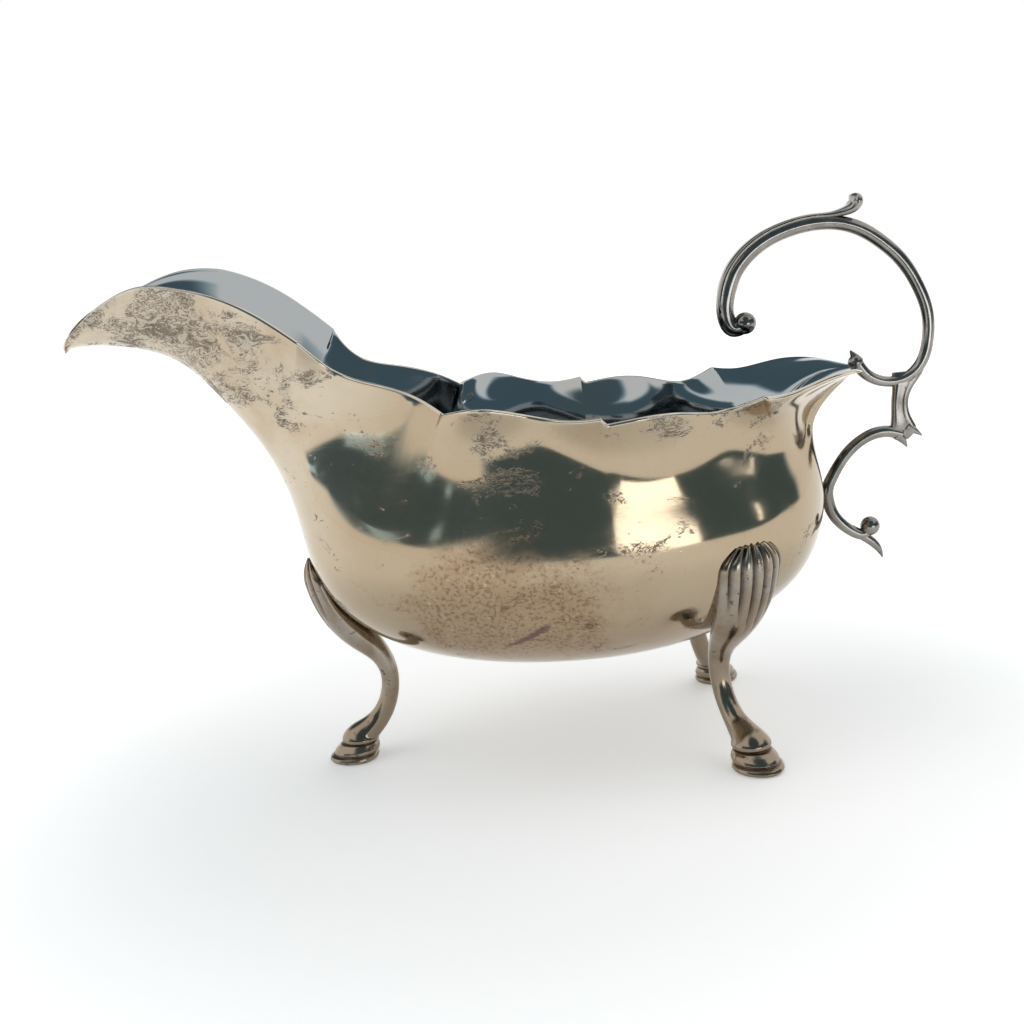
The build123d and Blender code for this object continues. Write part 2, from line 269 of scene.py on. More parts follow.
def raisedSilver():
    finish = raisedFinish
    bench, where, close = silver("raisedSilver", finish)
    cloud = bench.noise(where, 24, 5, 0.6, 0.6)
    smudge = bench.noise(bench.stretch(where, (1.0, 1.0, 1.6), (0.0, 0.3, 0.0)), 80, 6, 0.68, 0.6)
    worms = bench.noise(bench.stretch(where, (1.0, 1.0, 2.0), (0.0, 0.35, 0.0)), 330, 3, 0.6, 1.4)
    grain = bench.noise(where, 1250, 2, 0.6)
    planish = bench.noise(where, 60, 2, 0.4)
    brushed = bench.noise(bench.stretch(where, (1.0, 1.0, 9.0), (0.0, 0.25, 0.0)), 260, 3, 0.6)
    outside = 1 - bench.mark("inside")

    def gathered(places):
        total = None
        for centre, reach, amount in places:
            here = bench.patch(where, centre, reach, 0.7 * reach) * amount
            total = here if total is None else total + here
        return total

    pitted = bench.ease(gathered(pittedPlaces) + bench.ease(smudge, 0.3, 0.7, -0.45, 0.45), 0.28, 0.85)
    rusty = bench.ease(gathered(rustyPlaces) + bench.ease(smudge, 0.3, 0.7, -0.3, 0.3), 0.2, 1.0)
    lines = bench.ease(bench.size(worms - 0.5), 0.012, 0.045, 1.0, 0.0)
    lines = lines * bench.ease(smudge + pitted * 0.22, 0.57, 0.70)
    blots = bench.ease(worms + pitted * 0.10 + bench.ease(smudge, 0.4, 0.75, -0.05, 0.10), 0.66, 0.72)
    blots = blots * bench.ease(cloud + pitted * 0.3, 0.38, 0.60)
    specks = bench.ease(grain + rusty * 0.09 + pitted * 0.04, 0.60, 0.70)
    marks = bench.larger(lines, blots)
    pale = bench.mix(bench.ease(cloud, 0.38, 0.62), finish["champagne"], finish["clean"])
    # The body is coloured darker than the spout.
    darkerBody = bench.patch(where, *finish["bodyTonePlace"]) * finish["bodyToneShare"]
    pale = bench.mix(darkerBody, pale, finish["bodyTone"])
    skin = bench.mix(rusty * bench.ease(smudge, 0.3, 0.7, 0.45, 0.85), pale, finish["rust"])
    skin = bench.mix(pitted * bench.ease(smudge, 0.35, 0.65, 0.15, 0.7), skin, finish["grey"])
    skin = bench.mix(marks * 0.75, skin, finish["brown"])
    skin = bench.mix(specks * (rusty * 0.42 + pitted * 0.25 + 0.06), skin, finish["brown"])
    skin = bench.mix(bench.ease(grain, 0.36, 0.28) * rusty * 0.4, skin, finish["white"])
    # One purplish scratch low on the belly, drawn on both sides because it reads only x and z.
    scar = bench.stretch(where, (1.0, 0.0, 1.0))
    scar = bench.add("ShaderNodeVectorMath", {"operation": "SUBTRACT"}, {0: scar, 1: finish["scarPlace"]})
    along, _, across = bench.split(bench.stretch(scar, (1.0, 1.0, 1.0), (0.0, finish["scarTurn"], 0.0)))
    along = bench.ease(bench.size(along), *finish["scarLength"], 1.0, 0.0)
    thin = bench.size(across + (smudge - 0.5) * finish["scarWander"])
    scar = along * bench.ease(thin, *finish["scarWidth"], 1.0, 0.0)
    skin = bench.mix(scar * 0.75, skin, finish["plum"])
    mirror = bench.mix(bench.ease(cloud, 0.45, 0.7, 0.0, 0.35), finish["inside"], finish["champagne"])
    colour = bench.mix(outside, mirror, skin)
    edge = bench.mark("edge")
    colour = bench.mix(edge * 0.7, colour, finish["white"])
    haze = bench.ease(smudge, 0.42, 0.75, 0.0, 0.07) + pitted * 0.08 + rusty * 0.14
    haze = haze + marks * finish["haze"]
    roughness = finish["polish"] + haze * outside + bench.ease(brushed, 0.3, 0.8, 0.0, 0.025)
    height = grain * (pitted * 0.16 + rusty * 0.34 + 0.02) * outside - marks * outside * 0.6
    height = height + planish * 0.9 + brushed * 0.04
    return close(colour, roughness, height)


# The cast silver of the handle, greyer, with dark tarnish left in its hollows and painted shade on the arch
# where the leaf lies on it.

castFinish = {
    "metal": 1.0, "relief": 0.03,
    "clean": (0.34, 0.313, 0.286), "pewter": (0.204, 0.187, 0.17), "dark": (0.037, 0.031, 0.027),
    "polish": 0.13,
}


def castSilver():
    finish = castFinish
    bench, where, close = silver("castSilver", finish)
    cloud = bench.noise(where, 95, 5, 0.6, 0.4)
    speck = bench.noise(where, 900, 3, 0.6)
    hollow = bench.mark("hollow")
    tone = bench.mix(bench.ease(cloud, 0.36, 0.66), finish["pewter"], finish["clean"])
    spots = bench.ease(speck, 0.62, 0.72) * bench.ease(cloud, 0.40, 0.60)
    tone = bench.mix(spots * 0.6, tone, finish["dark"])
    # The hollow mark darkens the tarnished hollows, and on the arch under the leaf it carries painted shade.
    colour = bench.mix(hollow * bench.ease(cloud, 0.2, 0.7, 0.95, 0.7), tone, finish["dark"])
    roughness = finish["polish"] + bench.ease(cloud, 0.4, 0.7, 0.0, 0.10) + hollow * 0.2 + spots * 0.15
    return close(colour, roughness, cloud * 0.8 + speck * 0.25 - spots * 0.4)


# The silver of the legs, warm, with bronze tones on the ankles and black lines between the flutes.

legFinish = {
    "metal": 1.0, "relief": 0.04,
    "clean": (0.359, 0.32, 0.273), "bronze": (0.273, 0.211, 0.152), "dark": (0.035, 0.027, 0.023),
    "polish": 0.14, "ankle": 0.017, "knee": 0.034,
}


def legSilver():
    finish = legFinish
    bench, where, close = silver("legSilver", finish)
    cloud = bench.noise(where, 110, 5, 0.6, 0.5)
    speck = bench.noise(where, 800, 3, 0.6)
    height = bench.add("ShaderNodeSeparateXYZ", None, {"Vector": where}, 2)
    low = bench.ease(height + cloud * 0.008, finish["ankle"], finish["knee"], 1.0, 0.0)
    hollow = bench.mark("hollow")
    tone = bench.mix(bench.ease(cloud, 0.35, 0.68), finish["bronze"], finish["clean"])
    tone = bench.mix(low * 0.65, tone, finish["bronze"])
    spots = bench.ease(speck, 0.60, 0.70) * bench.ease(cloud, 0.38, 0.58)
    tone = bench.mix(spots * 0.7, tone, finish["dark"])
    colour = bench.mix(hollow * bench.ease(cloud, 0.25, 0.75, 1.0, 0.75), tone, finish["dark"])
    roughness = finish["polish"] + bench.ease(cloud, 0.4, 0.7, 0.0, 0.14) + hollow * 0.25 + spots * 0.15
    return close(colour, roughness, cloud * 0.9 + speck * 0.3 - spots * 0.5)


raisedMetal = raisedSilver()
castMetal = castSilver()
legMetal = legSilver()
print("sauce boat: three silvers mixed")

# The bowl.

bowl = {
    "wall": 0.9, "edge": 0.72, "rows": 300, "belly": 26, "flank": 34, "edgeColumns": 5,
    "lobeEase": 2.0, "lobeBlur": 8.0, "cuspEase": 7.0, "spoutLean": 0.094, "spoutFlare": 8.0,
    "pull": 0.55,          # how far the flank's second control point is from the belly to the neck
    "flareIn": (-90, -72), "flareOut": (-53, -44), "cuspRow": 0.0012, "tipFade": 9,
    "leanAlong": [-90, -84, -76, -60, -44, -36], "leanShare": [0, .5, 1, 1, .25, 0],
    # Line of the rim, lobe by lobe: along, out from the middle plane, up.
    "rimLobes": [
        [(-90, 0, 96.6), (-89.2, 2.6, 97.8), (-85.5, 6.0, 101.0), (-78, 10, 105.6), (-68, 15.2, 108.9),
         (-58.5, 18.9, 107.7), (-47, 21.4, 102.0), (-37.6, 21.8, 94.0)],
        [(-37.4, 21.8, 93.8), (-31.5, 18.4, 87.4), (-24.4, 21.8, 84.6), (-16.5, 25.3, 81.7),
         (-11.4, 29.5, 78.4)],
        [(-11.0, 30.5, 78.4), (-3, 37.2, 78.8), (5, 35.2, 76.7), (11.6, 37.0, 75.2), (17.6, 39.8, 75.3)],
        [(18.8, 38.6, 73.9), (26, 38.4, 74.5), (34, 34.2, 74.0), (42, 28.8, 73.0), (48.0, 31.4, 74.7)],
        [(48.6, 32.2, 74.7), (54, 27.4, 74.4), (62, 22.6, 75.9), (69, 15.6, 75.9), (73.2, 5.5, 75.0),
         (73.6, 0, 74.9)],
    ],
    # Sections of the body from the spout's tip to the back: the keel along and up, the lip along, up and out,
    # the belly's share of the height and its half width, then the neck's half width and its share.
    "stations": [
        (-90.0, 96.6, -90.0, 96.8, 0.0, .45, 0.0, 0.0, .75),
        (-85.8, 96.9, -86.2, 100.2, 5.5, .45, 3.8, 5.0, .75),
        (-80.5, 96.5, -79.5, 104.8, 9.4, .45, 6.2, 8.2, .75),
        (-72.4, 94.6, -69.0, 108.7, 14.7, .45, 9.0, 12.2, .75),
        (-65.0, 90.6, -60.0, 108.2, 18.4, .45, 11.0, 15.0, .75),
        (-57.9, 82.2, -51.0, 104.6, 20.7, .45, 12.4, 17.0, .75),
        (-51.9, 72.8, -43.0, 98.6, 21.5, .45, 13.0, 16.8, .75),
        (-47.6, 62.2, -36.0, 92.0, 20.8, .45, 13.6, 15.8, .74),
        (-45.9, 53.0, -30.5, 87.2, 19.6, .45, 15.4, 15.6, .72),
        (-44.4, 44.8, -25.0, 84.4, 21.4, .46, 18.4, 17.0, .71),
        (-39.6, 35.4, -19.0, 82.2, 24.8, .48, 22.8, 20.4, .71),
        (-30.5, 28.2, -12.0, 80.0, 30.0, .49, 28.0, 25.2, .77),
        (-16.5, 23.0, -2.0, 78.6, 36.5, .50, 33.4, 29.8, .84),
        (8.0, 20.0, 12.0, 76.0, 38.8, .51, 37.0, 33.0, .85),
        (31.0, 21.4, 24.0, 74.7, 38.4, .51, 35.4, 32.0, .81),
        (47.0, 26.2, 33.0, 74.2, 35.8, .50, 31.2, 28.6, .79),
        (56.6, 32.2, 40.0, 74.0, 32.6, .48, 26.4, 24.8, .79),
        (62.0, 39.6, 46.5, 74.2, 30.8, .47, 20.8, 21.5, .78),
        (64.4, 48.5, 52.5, 74.7, 28.2, .46, 13.6, 18.5, .75),
        (63.2, 56.5, 57.5, 75.2, 25.4, .45, 10.2, 16.5, .75),
        (61.8, 62.0, 62.0, 75.6, 22.4, .45, 10.4, 15.5, .75),
        (63.8, 67.4, 66.5, 75.8, 18.2, .45, 10.0, 13.6, .75),
        (68.4, 71.8, 70.5, 75.6, 12.5, .45, 7.4, 9.8, .75),
        (73.6, 74.7, 73.6, 74.9, 0.0, .45, 0.0, 0.0, .75),
    ],
}


def rimLine(count=240):
    lobes = []
    for lobe in bowl["rimLobes"]:
        knots = runLength(lobe)
        lobes.append(smoothThrough(np.linspace(0, knots[-1], count), knots, lobe))
    return np.vstack(lobes)


def bowlSkin():
    # Surface of (s, v). s picks a section between the stations, v runs round it: from the keel a quarter
    # ellipse out to the belly, then a cubic Bezier in to the neck and out to the lip. The difference between
    # the plain lip and the lobed rim is eased in towards the top.
    stations = np.array(bowl["stations"])
    keelRun, lipRun = runLength(stations[:, :2]), runLength(stations[:, 2:5])
    knots = keelRun / keelRun[-1] + lipRun / lipRun[-1]
    knots /= knots[-1]
    dense = np.linspace(0, 1, 4000)
    lipAlong = smoothThrough(dense, knots, stations)[:, 2]
    cusps = [lobe[-1][0] for lobe in bowl["rimLobes"][:-1]]
    marks = np.interp(cusps, lipAlong, dense)
    beside = bowl["cuspRow"]
    s = np.unique(np.r_[np.linspace(0, 1, bowl["rows"]), marks, marks + beside, marks - beside])
    column = [value[:, None] for value in smoothThrough(s, knots, stations).T]
    keelX, keelZ, lipX, lipZ, lipY, bellyUp, bellyY, neckY, neckUp = column
    bellyY, neckY, lipY = (np.maximum(value, 0) for value in (bellyY, neckY, lipY))
    # On the spout the flanks also lean outwards, by an amount that grows evenly with height.
    flare = bowl["spoutFlare"] * smoothStep(*bowl["flareIn"], keelX)
    flare = flare * (1 - smoothStep(*bowl["flareOut"], keelX))
    bellyY, neckY, lipY = bellyY - flare * bellyUp, neckY - flare * neckUp, lipY - flare
    turn = np.linspace(0, np.pi / 2, bowl["belly"])[None]
    t = np.linspace(0, 1, bowl["flank"] + 1)[None, 1:]
    pull = bellyUp + (neckUp - bellyUp) * bowl["pull"]
    weights = [(1 - t) ** 3, 3 * (1 - t) ** 2 * t, 3 * (1 - t) * t ** 2, t ** 3]
    flankUp = weights[0] * bellyUp + weights[1] * pull + weights[2] * neckUp + weights[3]
    flankY = (weights[0] + weights[1]) * bellyY + weights[2] * neckY + weights[3] * lipY
    up = np.hstack([bellyUp * (1 - np.cos(turn)), flankUp])
    y = np.hstack([bellyY * np.sin(turn), flankY])
    y = y + flare * up
    lipY = lipY + flare
    x = keelX + (lipX - keelX) * up
    z = keelZ + (lipZ - keelZ) * up
    rim = rimLine()
    lip = np.hstack([lipY, lipZ])
    # The lobes meet in sharp cusps on the rim only. Lower down they run into each other, so there the
    # difference is its own average over a stretch of the rim.
    stretch = lipX + np.linspace(-bowl["lobeBlur"], bowl["lobeBlur"], 21)[None]
    sharp, soft = [], []
    for axis in (0, 1):
        away = np.interp(lipX[:, 0], rim[:, 0], rim[:, axis + 1]) - lip[:, axis]
        sharp.append(away[:, None])
        soft.append(np.interp(stretch, lipX[:, 0], away).mean(axis=1)[:, None])
    climb = np.hstack([np.zeros(bowl["belly"]), t[0]])[None]
    share, crisp = climb ** bowl["lobeEase"], climb ** bowl["cuspEase"]
    y = y + share * soft[0] + crisp * (sharp[0] - soft[0])
    z = z + share * soft[1] + crisp * (sharp[1] - soft[1])
    z = z - bowl["edge"] * smoothStep(0.5, 1, share)   # room for the rounded edge on top
    half = np.stack([x, y, z], -1)
    other = half[:, :0:-1] * (1, -1, 1)
    skin = np.concatenate([other, half], axis=1)
    tilt = np.interp(skin[..., 0], bowl["leanAlong"], bowl["leanShare"])
    skin[..., 2] += bowl["spoutLean"] * tilt * skin[..., 1]
    return skin


def outwardOf(skin):
    # Unit normals of a grid, away from the line through the middle of its sections.
    normals = unit(np.cross(np.gradient(skin, axis=0), np.gradient(skin, axis=1)))
    middle = 0.5 * (skin[:, :1] + skin[:, -1:])
    facing = np.einsum("ijk,ijk->ij", normals, skin - middle).sum()
    return normals if facing > 0 else -normals


outerSkin = bowlSkin()
outerNormals = outwardOf(outerSkin)


def makeBowl():
    # A closed wall: the outer skin, the inner skin a wall's thickness inside it, and a half-round edge
    # between them.
    ends = runLength(outerSkin[:, outerSkin.shape[1] // 2])
    fade = smoothStep(0, bowl["tipFade"], np.minimum(ends, ends[-1] - ends))[:, None, None]
    innerSkin = outerSkin - outerNormals * bowl["wall"] * fade
    angles = np.linspace(0, np.pi, bowl["edgeColumns"] + 2)[1:-1][None, :, None]
    rims = []
    for side in (-1, 0):
        outer, inner = outerSkin[:, side][:, None], innerSkin[:, side][:, None]
        before = outerSkin[:, -3 if side else 2][:, None]
        rise = unit(outer - before)
        middle, reach = (outer + inner) / 2, (outer - inner) / 2
        size = np.linalg.norm(reach, axis=-1, keepdims=True)
        rims.append(middle + reach * np.cos(angles) + rise * size * np.sin(angles))
    rings = np.concatenate([outerSkin, rims[0], innerSkin[:, ::-1], rims[1][:, ::-1]], axis=1)
    count, edgeCount = outerSkin.shape[1], bowl["edgeColumns"]
    inside = np.r_[np.zeros(count), np.linspace(0, 1, edgeCount),
                   np.ones(count), np.linspace(1, 0, edgeCount)]
    edge = np.r_[np.zeros(count), np.ones(edgeCount), np.zeros(count), np.ones(edgeCount)]
    rows = len(rings)
    inside = np.r_[np.tile(inside, rows), 0, 0]
    edge = np.r_[np.tile(edge, rows), 0, 0]
    return makePiece("bowl_shell", [closedSkin(rings)], raisedMetal, "bowl",
                     {"inside": [inside], "edge": [edge]})


makeBowl()

# The handle.

scroll = {
    # Centre line in the middle plane and radius, from the ball under the arch round to the bead on the rim.
    "line": [(51.0, 85.8, 1.7), (48.7, 85.4, 1.75), (47.4, 88.0, 1.8), (47.9, 92.3, 1.75), (49.7, 96.5, 1.65),
             (52.7, 99.9, 1.6), (56.6, 102.4, 1.55), (61.0, 103.9, 1.5), (66.0, 104.6, 1.45),
             (71.3, 104.2, 1.45),
             (75.8, 102.5, 1.45), (80.0, 99.4, 1.4), (83.7, 95.5, 1.35), (86.8, 90.0, 1.3),
             (88.6, 84.0, 1.25),
             (88.4, 78.5, 1.2), (86.8, 74.0, 1.2), (84.2, 71.6, 1.15), (80.9, 70.8, 1.1), (77.4, 71.6, 1.15),
             (75.0, 73.4, 1.25), (73.6, 75.4, 1.4)],
    "ball": (51.2, 86.2, 2.3), "bead": (73.4, 75.6, 1.6), "rings": 230, "columns": 36,
    "spur": [(74.0, 75.6, 1.2), (73.2, 76.9, 0.8), (72.4, 78.2, 0.15)],
}
leaf = {
    "line": [(46.9, 86.4, 0.2), (46.4, 88.6, 0.7), (46.7, 92.7, 0.9), (48.6, 97.4, 0.9), (51.8, 101.0, 0.85),
             (56.1, 103.7, 0.8), (60.9, 105.3, 0.75), (66.0, 106.0, 0.75), (70.4, 106.0, 0.85),
             (73.0, 106.4, 1.2),
             (74.6, 107.2, 1.5), (75.0, 108.3, 1.6), (74.5, 108.9, 1.2), (74.0, 109.0, 0.4)],
    "width": 2.0, "grooves": 0.25, "rings": 170,
}
strut = {
    # Up, left side, right side, half depth.
    "rows": [(72.6, 80.8, 87.4, 0.7), (71.4, 80.7, 86.6, 1.05), (69.6, 80.7, 85.2, 1.15),
             (67.6, 80.5, 84.1, 1.15),
             (65.6, 80.3, 83.8, 1.1), (63.6, 80.2, 84.1, 1.1), (61.8, 80.0, 84.9, 1.1),
             (60.4, 79.9, 85.3, 1.0),
             (59.3, 80.2, 84.6, 0.8), (58.4, 80.8, 83.6, 0.4)],
    "spurs": [[(83.2, 61.2, 1.2), (84.9, 60.0, 0.7), (86.4, 58.8, 0.15)],
              [(81.2, 59.6, 1.2), (82.4, 58.2, 0.75), (83.2, 56.7, 0.15)]],
}
lower = {
    "line": [(82.2, 59.5, 1.25), (79.4, 60.4, 1.25), (76.6, 60.3, 1.25), (73.8, 59.2, 1.2), (71.2, 57.3, 1.2),
             (69.0, 54.8, 1.2), (67.2, 52.0, 1.25), (66.0, 49.3, 1.3), (66.1, 46.6, 1.3), (67.0, 43.8, 1.25),
             (68.8, 41.4, 1.2), (71.0, 39.6, 1.2), (73.2, 38.9, 1.2), (74.5, 40.1, 1.1)],
    "ball": (74.6, 40.5, 2.05),
    "tail": [(70.6, 40.2, 1.0), (72.8, 38.6, 1.05), (75.0, 36.8, 0.95), (76.3, 35.0, 0.65),
             (76.9, 33.3, 0.12)],
}


def rodRings(points, count, across=1.0, grooves=0.0):
    # An oval carried along a line in the middle plane. Round it, the angle starts on the left of the way it
    # goes. Grooves press a shallow channel into both faces.
    line = smoothLine(points, count)
    track, radius = line[:, :2], np.maximum(line[:, 2], 0.02)[:, None]
    ahead = unit(np.gradient(track, axis=0))
    left = np.stack([-ahead[:, 1], ahead[:, 0]], 1)
    angle = np.linspace(0, 2 * np.pi, scroll["columns"], endpoint=False)[None]
    press = 1 - grooves * np.cos(angle) ** 4
    side = radius * np.cos(angle) * press
    x = track[:, :1] + left[:, :1] * side
    z = track[:, 1:] + left[:, 1:] * side
    return np.stack([x, np.broadcast_to(across * radius * np.sin(angle), x.shape), z], -1)


def ballRings(ball):
    # Rings of a sphere, from its lowest point to its highest.
    x, z, radius = ball
    tilt = np.linspace(-np.pi / 2, np.pi / 2, 22)[1:-1, None]
    angle = np.linspace(0, 2 * np.pi, scroll["columns"], endpoint=False)[None]
    flat = radius * np.cos(tilt)
    return np.stack([x + flat * np.cos(angle), flat * np.sin(angle),
                     z + radius * np.sin(tilt) + 0 * angle], -1)


def evenMark(rings, value):
    return np.full(rings.shape[0] * rings.shape[1] + 2, value)


def ringMark(rings, perColumn, perRow=1.0):
    values = np.asarray(perRow).reshape(-1, 1) * np.asarray(perColumn)[None]
    return np.r_[np.broadcast_to(values, rings.shape[:2]).reshape(-1), 0, 0]


def makeCast(name, parts, node, marks):
    makePiece(name, [closedSkin(rings) for rings in parts], castMetal, node, {"hollow": marks})


def makeHandle():
    around = np.linspace(0, 2 * np.pi, scroll["columns"], endpoint=False)
    arch = rodRings(scroll["line"], scroll["rings"])
    parts = [arch, ballRings(scroll["ball"]), ballRings(scroll["bead"]), rodRings(scroll["spur"], 20)]
    # Painted shade: the face of the arch under the leaf is darkened, along the first half of the arch, which
    # the leaf covers.
    shadeUnderLeaf = smoothStep(0.75, 1.0, np.cos(around)) * 0.9
    reach = 1 - smoothStep(0.42, 0.5, np.linspace(0, 1, scroll["rings"]))
    marks = [ringMark(arch, shadeUnderLeaf, reach)] + [evenMark(rings, 0.1) for rings in parts[1:]]
    makeCast("handle_scroll", parts, "upper_scroll", marks)
    strand = rodRings(leaf["line"], leaf["rings"], leaf["width"], leaf["grooves"])
    creases = smoothStep(0.55, 0.95, np.abs(np.cos(around)) ** 2) * 0.35
    makeCast("handle_leaf", [strand], "scroll_leaf", [ringMark(strand, creases)])
    # The link is a stack of rounded oblongs between a straight side and a waisted one.
    rows = smoothLine([(0, *row) for row in strut["rows"]], 60)
    up, first, second, depth = (rows[:, column][:, None] for column in (1, 2, 3, 4))
    angle = around[None]
    cosine, sine = np.cos(angle), np.sin(angle)
    blunt = np.sign(cosine) * np.abs(cosine) ** 0.7
    x = (first + second) / 2 + (second - first) / 2 * blunt
    y = depth * np.sign(sine) * np.abs(sine) ** 0.8 * (1 - 0.25 * (1 - np.abs(cosine)) ** 2)
    link = np.stack([x, y, up + 0 * x], -1)
    parts = [link] + [rodRings(spur, 20) for spur in strut["spurs"]]
    makeCast("handle_link", parts, "handle_strut", [evenMark(rings, 0.15) for rings in parts])
    parts = [rodRings(lower["line"], 150), ballRings(lower["ball"]), rodRings(lower["tail"], 40)]
    makeCast("handle_tail", parts, "lower_scroll", [evenMark(rings, 0.1) for rings in parts])


makeHandle()
print("sauce boat: handle done")

# The legs.

leg = {
    "flutes": 7, "fluteDepth": 0.992, "sink": 0.4, "near": 14, "columns": 200, "rings": 170,
    # Heights: where the flutes start in the middle, how much higher at the sides, over how much they deepen,
    # the scalloped top of the knee, and where the section bends round the bowl.
    "fluteStart": 29.0, "fluteRise": 4.5, "fluteFade": 7, "scallop": (43.0, 46.2), "scallopSize": 0.9,
    "bend": (22, 36), "footRings": 60, "footColumns": 72,
    # Out from the middle of the foot, up, lean in degrees, half thickness, half width.
    "rows": [(-1.4, 4.3, 0, 4.0, 3.8), (-1.4, 4.9, -2, 4.15, 3.95), (-1.9, 5.7, -14, 3.8, 3.6),
             (-3.6, 6.9, -32, 2.95, 2.9), (-6.2, 9.0, -36, 2.3, 2.25), (-8.3, 12.2, -22, 2.05, 2.1),
             (-9.6, 16.4, -6, 1.95, 2.1), (-9.6, 20.0, 10, 2.0, 2.3), (-8.3, 23.6, 32, 2.3, 2.9),
             (-5.6, 27.2, 45, 3.0, 4.2), (-2.0, 31.4, 40, 3.4, 5.7), (1.0, 36.0, 24, 3.1, 6.9),
             (2.8, 40.6, 8, 2.7, 7.4), (3.7, 44.2, -8, 1.8, 6.6), (3.8, 46.2, -15, 0.7, 4.2)],
    # The foot: up, toe, heel.
    "foot": [(0.0, 5.3, -4.3), (0.15, 5.75, -4.75), (0.7, 6.1, -5.0), (1.25, 5.85, -4.9), (1.5, 5.2, -4.6),
             (1.65, 4.75, -4.7), (2.0, 4.95, -5.2), (2.6, 4.6, -5.4), (3.3, 3.9, -5.3), (3.85, 3.2, -5.1),
             (4.1, 2.5, -4.9), (4.35, 2.35, -5.1), (4.6, 2.2, -5.2)],
    "footWidth": 0.9,
}
# Each leg's mount, the way it points in degrees, and the radius that its knee bends round.
legPlaces = {
    "leg_front": ("foot_front_rest", 180, 13.0),
    "leg_rear_left": ("foot_rear_left_rest", 60, 30.0),
    "leg_rear_right": ("foot_rear_right_rest", -60, 30.0),
}
feet = {mount["name"]: mount["pos_m"] for mount in frame["record"]["mounts"]}


def seated(points, depth):
    # Whatever lies inside the bowl's outer skin is drawn back to just under it, along the nearest normal.
    skin, normals = outerSkin[::2, ::2].reshape(-1, 3), outerNormals[::2, ::2].reshape(-1, 3)
    result = points.copy()
    batch = 2000   # the table of distances is made in parts, to keep it small
    for start in range(0, len(points), batch):
        some = points[start:start + batch]
        square = (some ** 2).sum(1)[:, None] + (skin ** 2).sum(1)[None] - 2 * some @ skin.T
        nearest = square.argmin(1)
        height = np.einsum("ij,ij->i", some - skin[nearest], normals[nearest])
        lift = np.clip(-depth - height, 0, None)
        close = np.sqrt(np.abs(square[np.arange(len(some)), nearest])) < leg["near"]
        result[start:start + batch] = some + normals[nearest] * (lift * close)[:, None]
    return result


def legRings(wrap):
    # Ovals along a cabriole line. On the knee the outer face carries flutes that fan out with the oval, and
    # the whole section bends round the bowl.
    rows = smoothLine(leg["rows"], leg["rings"])
    out, up, lean, thick, wide = (rows[:, column][:, None] for column in range(5))
    lean = np.radians(lean)
    angle = np.linspace(0, 2 * np.pi, leg["columns"], endpoint=False)[None]
    spread = np.sin(angle)
    face = smoothStep(-0.15, 0.25, np.cos(angle))
    wave = np.abs(np.cos(leg["flutes"] * np.pi / 2 * (0.5 * spread + np.arcsin(spread) / np.pi)))
    start = leg["fluteStart"] + leg["fluteRise"] * np.abs(spread)
    zone = smoothStep(0, leg["fluteFade"], up - start) * face
    groove = (1 - wave) ** 1.5 * zone
    deep = (thick - leg["fluteDepth"] * groove) * np.cos(angle)
    side = wide * spread
    lobed = smoothStep(*leg["scallop"], up) * (wave - 0.5) * leg["scallopSize"] * face
    bend = smoothStep(*leg["bend"], up) * side ** 2 / (2 * wrap)
    reach = out + deep * np.cos(lean) - bend + lobed * np.sin(lean)
    rise = up - deep * np.sin(lean) + lobed * np.cos(lean)
    return np.stack([reach, side + 0 * reach, rise], -1), groove


def footRings():
    # Egg-shaped rings whose toe and heel follow the steps of the foot.
    rows = np.array(leg["foot"])
    knots = runLength(rows)
    even = np.linspace(0, knots[-1], leg["footRings"])
    fine = np.stack([np.interp(even, knots, column) for column in rows.T], 1)
    up, toe, heel = (fine[:, column][:, None] for column in range(3))
    angle = np.linspace(0, 2 * np.pi, leg["footColumns"], endpoint=False)[None]
    middle, half = (toe + heel) / 2, (toe - heel) / 2
    x = middle + half * np.cos(angle)
    y = half * leg["footWidth"] * np.sin(angle) * (1 - 0.10 * np.cos(angle))
    return np.stack([x, y, up + 0 * x], -1)


def makeLeg(node):
    mount, turn, wrap = legPlaces[node]
    foot = np.array(feet[mount]) / mm
    cosine, sine = math.cos(math.radians(turn)), math.sin(math.radians(turn))
    spin = np.array([[cosine, sine, 0], [-sine, cosine, 0], [0, 0, 1]])
    rings, groove = legRings(wrap)
    placed = seated(rings.reshape(-1, 3) @ spin + foot, leg["sink"]).reshape(rings.shape)
    pad = footRings()
    pad = (pad.reshape(-1, 3) @ spin + foot).reshape(pad.shape)
    # Tarnish lies in the two steps of the foot, and in the grooves of the knee.
    steps = np.interp(np.linspace(0, 1, leg["footRings"]),
                      [0, .3, .36, .42, .8, .86, .92, 1], [0, 0, .9, 0, 0, .9, .2, 0])
    marks = [np.r_[(groove * 1.2).clip(0, 1).reshape(-1), 0, 0],
             ringMark(pad, np.ones(leg["footColumns"]), steps)]
    makePiece(node + "_cast", [closedSkin(placed), closedSkin(pad)], legMetal, node,
              {"hollow": marks})


for node in legPlaces:
    makeLeg(node)
print("sauce boat: legs done")

# The studio: a pale table that ends just behind the camera, with a dark room past its edge and bright walls
# round the rest. The silver mirrors the room as the dark band on the belly.

